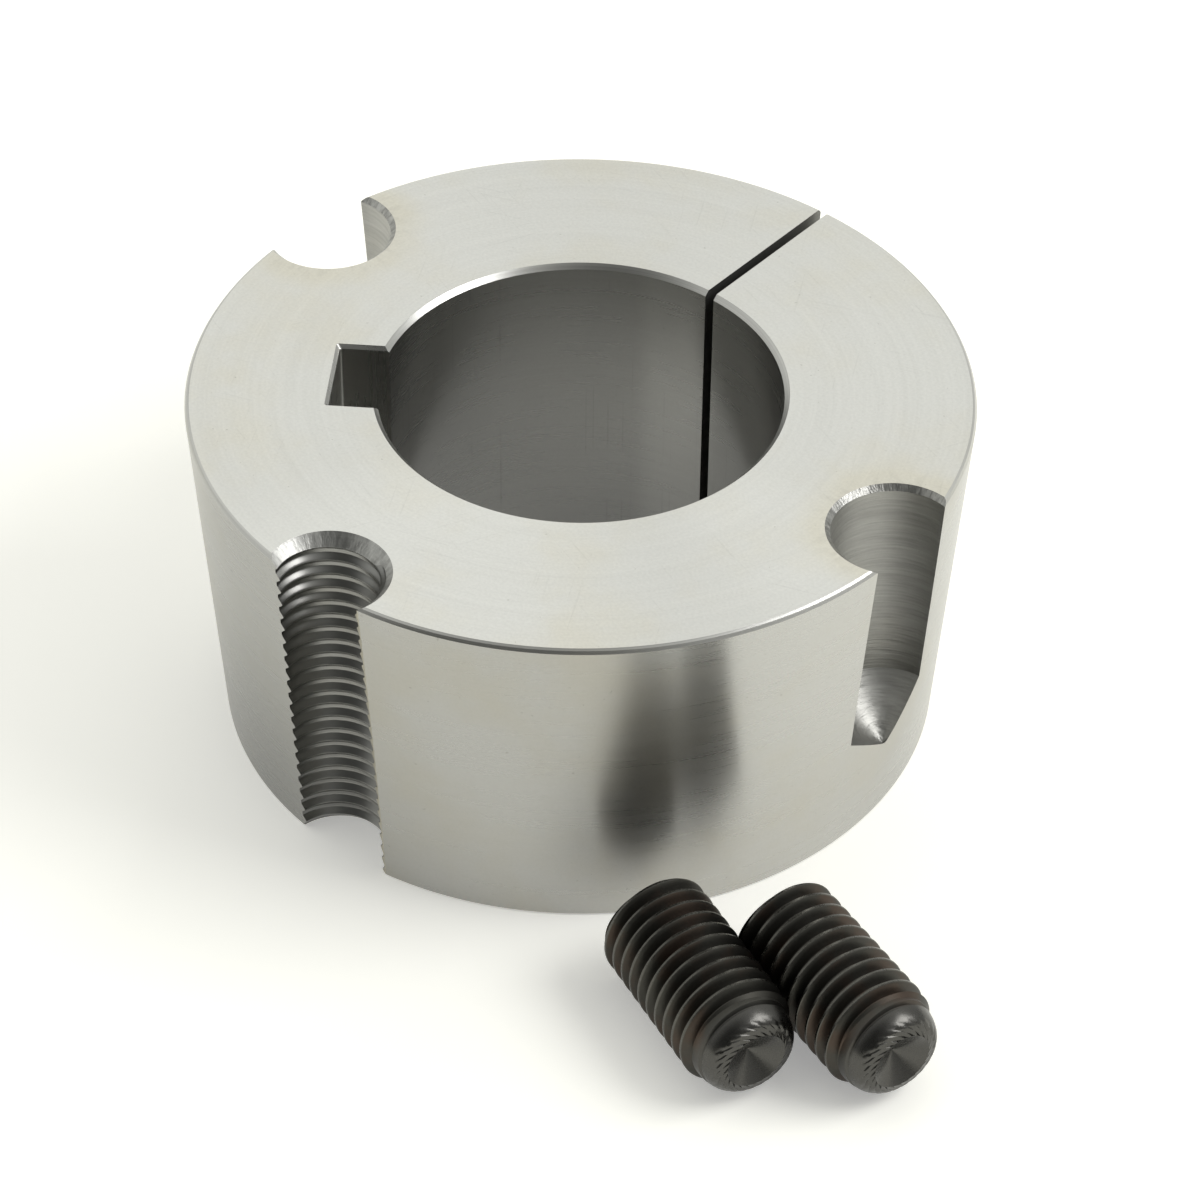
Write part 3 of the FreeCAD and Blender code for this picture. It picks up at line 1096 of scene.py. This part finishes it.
def set_screw(name, end, heading, roll):
    """One finished screw, laid down with its socket end at a place and its point along a heading."""
    rod = threaded_rod(
        "rod", Crest_radius=SCREW_RADIUS, Root_radius=SCREW_ROOT_RADIUS, Pitch=PITCH,
        Crest_share=0.14, Root_share=0.1, Rounding=0.25, Turns=math.ceil(SCREW_LENGTH / PITCH) + 2,
        Rows_per_turn=16, Steps_round=SCREW_STEPS, Finish=BLACK)
    rod.data.transform(Matrix.Translation((0, 0, SCREW_THREAD_START * PITCH)))
    screw = combined(rod, [screw_blank()], "INTERSECT")
    combined(screw, [socket_tool()], "DIFFERENCE")
    combined(screw, [knurl_tool(tooth) for tooth in range(KNURL_TEETH)], "DIFFERENCE")
    screw.name = name
    own = screw.data.attributes.new(OWN_PLACE, "FLOAT_VECTOR", "POINT")
    for corner, value in zip(screw.data.vertices, own.data):
        value.vector = corner.co
    screw.data.transform(
        Matrix.Translation((*end, SCREW_RADIUS)) @ Matrix.Rotation(math.radians(heading), 4, "Z")
        @ Matrix.Rotation(math.radians(90), 4, "Y") @ Matrix.Rotation(math.radians(roll), 4, "Z"))
    return finished(screw)


for node, lie in SCREWS.items():
    screw = set_screw("threaded_" + node, **lie)
    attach(screw, "root")
    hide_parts(node)

# %% [markdown]
# ## Floor, light and camera
# Bare steel has hardly a colour of its own: it shows its surroundings. So the surroundings are made
# first, as a plain studio. The floor is white paper, a broad soft lamp stands to the right, and the
# sky is brighter on the far side, which the top face mirrors, than behind the camera, which the
# chamfer at the near rim mirrors. The floor is lifted to white for the camera and for reflections,
# and a shadow still takes from it.

# %% The floor
FLOOR_SIZE = 4
FLOOR_DROP = 0.0001
FLOOR_LIFT = 0.3
PAPER_COLOUR = (0.95, 0.94, 0.87, 1)


def white_floor():
    paper = Finish("white paper")
    rays = ("Is Camera Ray", "Is Glossy Ray", "Is Transmission Ray")
    camera_ray, glossy_ray, through_ray = paper.outputs(paper.node("ShaderNodeLightPath"), rays)
    seen = paper.maths("MAXIMUM", camera_ray, glossy_ray)
    seen = paper.maths("MAXIMUM", seen, through_ray)
    matt = paper.node("ShaderNodeBsdfDiffuse", sockets={"Color": PAPER_COLOUR})
    lift = paper.node("ShaderNodeEmission", sockets={"Color": (1, 1, 1, 1), "Strength": seen * FLOOR_LIFT})
    both = paper.node("ShaderNodeAddShader", sockets=(matt, lift))
    paper.node("ShaderNodeOutputMaterial", sockets={"Surface": both})
    return paper.material


bpy.ops.mesh.primitive_plane_add(size=FLOOR_SIZE, location=(0, 0, -FLOOR_DROP))
floor = bpy.context.object
floor.name = "floor"
floor.data.materials.append(white_floor())
floor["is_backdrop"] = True
print("floor:", FLOOR_SIZE, "m wide")

# %% The sky
SKY_NEAR = 0.12
SKY_COLOUR = (0.99, 1.0, 0.965, 1)
SKY_PATCHES = (
    {"bearing": 170, "elevation": 10, "low": 0.0, "high": 0.6, "strength": 0.75},
    {"bearing": 110, "elevation": 45, "low": 0.3, "high": 0.9, "strength": 0.3},
    {"bearing": 30, "elevation": 30, "low": 0.3, "high": 0.95, "strength": 0.4},
)


def toward(bearing, elevation):
    """The unit vector at a bearing and an elevation, in degrees."""
    a, e = math.radians(bearing), math.radians(elevation)
    return Vector((math.cos(a) * math.cos(e), math.sin(a) * math.cos(e), math.sin(e)))


def studio_sky():
    """A room whose light falls off from the far side to the camera's side."""
    world = bpy.data.worlds.new("studio")
    world.use_nodes = True
    sky = Nodes(world.node_tree)
    direction = sky.node("ShaderNodeTexCoord", out="Generated")
    strength = SKY_NEAR
    for patch in SKY_PATCHES:
        middle = tuple(toward(patch["bearing"], patch["elevation"]))
        facing = sky.node("ShaderNodeVectorMath", {"operation": "DOT_PRODUCT"},
                          (direction, middle), out="Value")
        strength = strength + facing.ramp(patch["low"], patch["high"]) * patch["strength"]
    background = sky.node("ShaderNodeBackground", sockets={"Color": SKY_COLOUR, "Strength": strength})
    sky.node("ShaderNodeOutputWorld", sockets={"Surface": background})
    return world


bpy.context.scene.world = studio_sky()
print("bright patches in the sky:", len(SKY_PATCHES))

# %% The lamp
WINDOW = {"bearing": 32, "elevation": 46, "distance": 0.9, "width": 0.5, "height": 0.45, "strength": 5.3}


def softbox(name, bearing, elevation, distance, width, height, strength):
    """A square lamp that faces the bush. Its strength is the white that it shows in a mirror."""
    data = bpy.data.lights.new(name, "AREA")
    data.shape = "RECTANGLE"
    data.size = width
    data.size_y = height
    data.energy = strength * math.pi * width * height
    lamp = bpy.data.objects.new(name, data)
    bpy.context.scene.collection.objects.link(lamp)
    lamp.location = toward(bearing, elevation) * distance
    lamp.rotation_mode = "QUATERNION"
    lamp.rotation_quaternion = (-lamp.location).to_track_quat("-Z", "Y")
    return lamp


window = softbox("window", **WINDOW)
print("lamp:", window.name, round(window.data.energy, 2), "W")

# %% The camera
CAMERA_PLACE = Vector((315.86, -375.76, 440.34)) * MM
CAMERA_AIM = Vector((11.65, -9.48, 25.4)) * MM
CAMERA_ROLL = 0.64
CAMERA_LENS = 137.8
CAMERA_SENSOR = 36
CAMERA_NEAR = 0.01

camera = bpy.data.objects.new("camera", bpy.data.cameras.new("camera"))
bpy.context.scene.collection.objects.link(camera)
look = (CAMERA_AIM - CAMERA_PLACE).to_track_quat("-Z", "Y")
camera.rotation_mode = "QUATERNION"
camera.rotation_quaternion = look @ Matrix.Rotation(math.radians(CAMERA_ROLL), 4, "Z").to_quaternion()
camera.location = CAMERA_PLACE
camera.data.sensor_width = CAMERA_SENSOR
camera.data.lens = CAMERA_LENS
camera.data.clip_start = CAMERA_NEAR
bpy.context.scene.camera = camera
bpy.context.scene.view_settings.view_transform = "Standard"
print("camera", round((CAMERA_AIM - CAMERA_PLACE).length, 3), "m from the bush")

# %% [markdown]
# ## The size that everything should have
# Both boxes, of the CAD solids and of the dressed part, are printed to be compared. The
# dressed part has to keep to the box of the CAD solids.

# %% Sizes, and the end
visual_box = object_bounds()
for label, box in (("solids", cad_box), ("dressed", visual_box)):
    low, high = box
    print(label, [round((b - a) / MM, 2) for a, b in zip(low, high)], "mm")
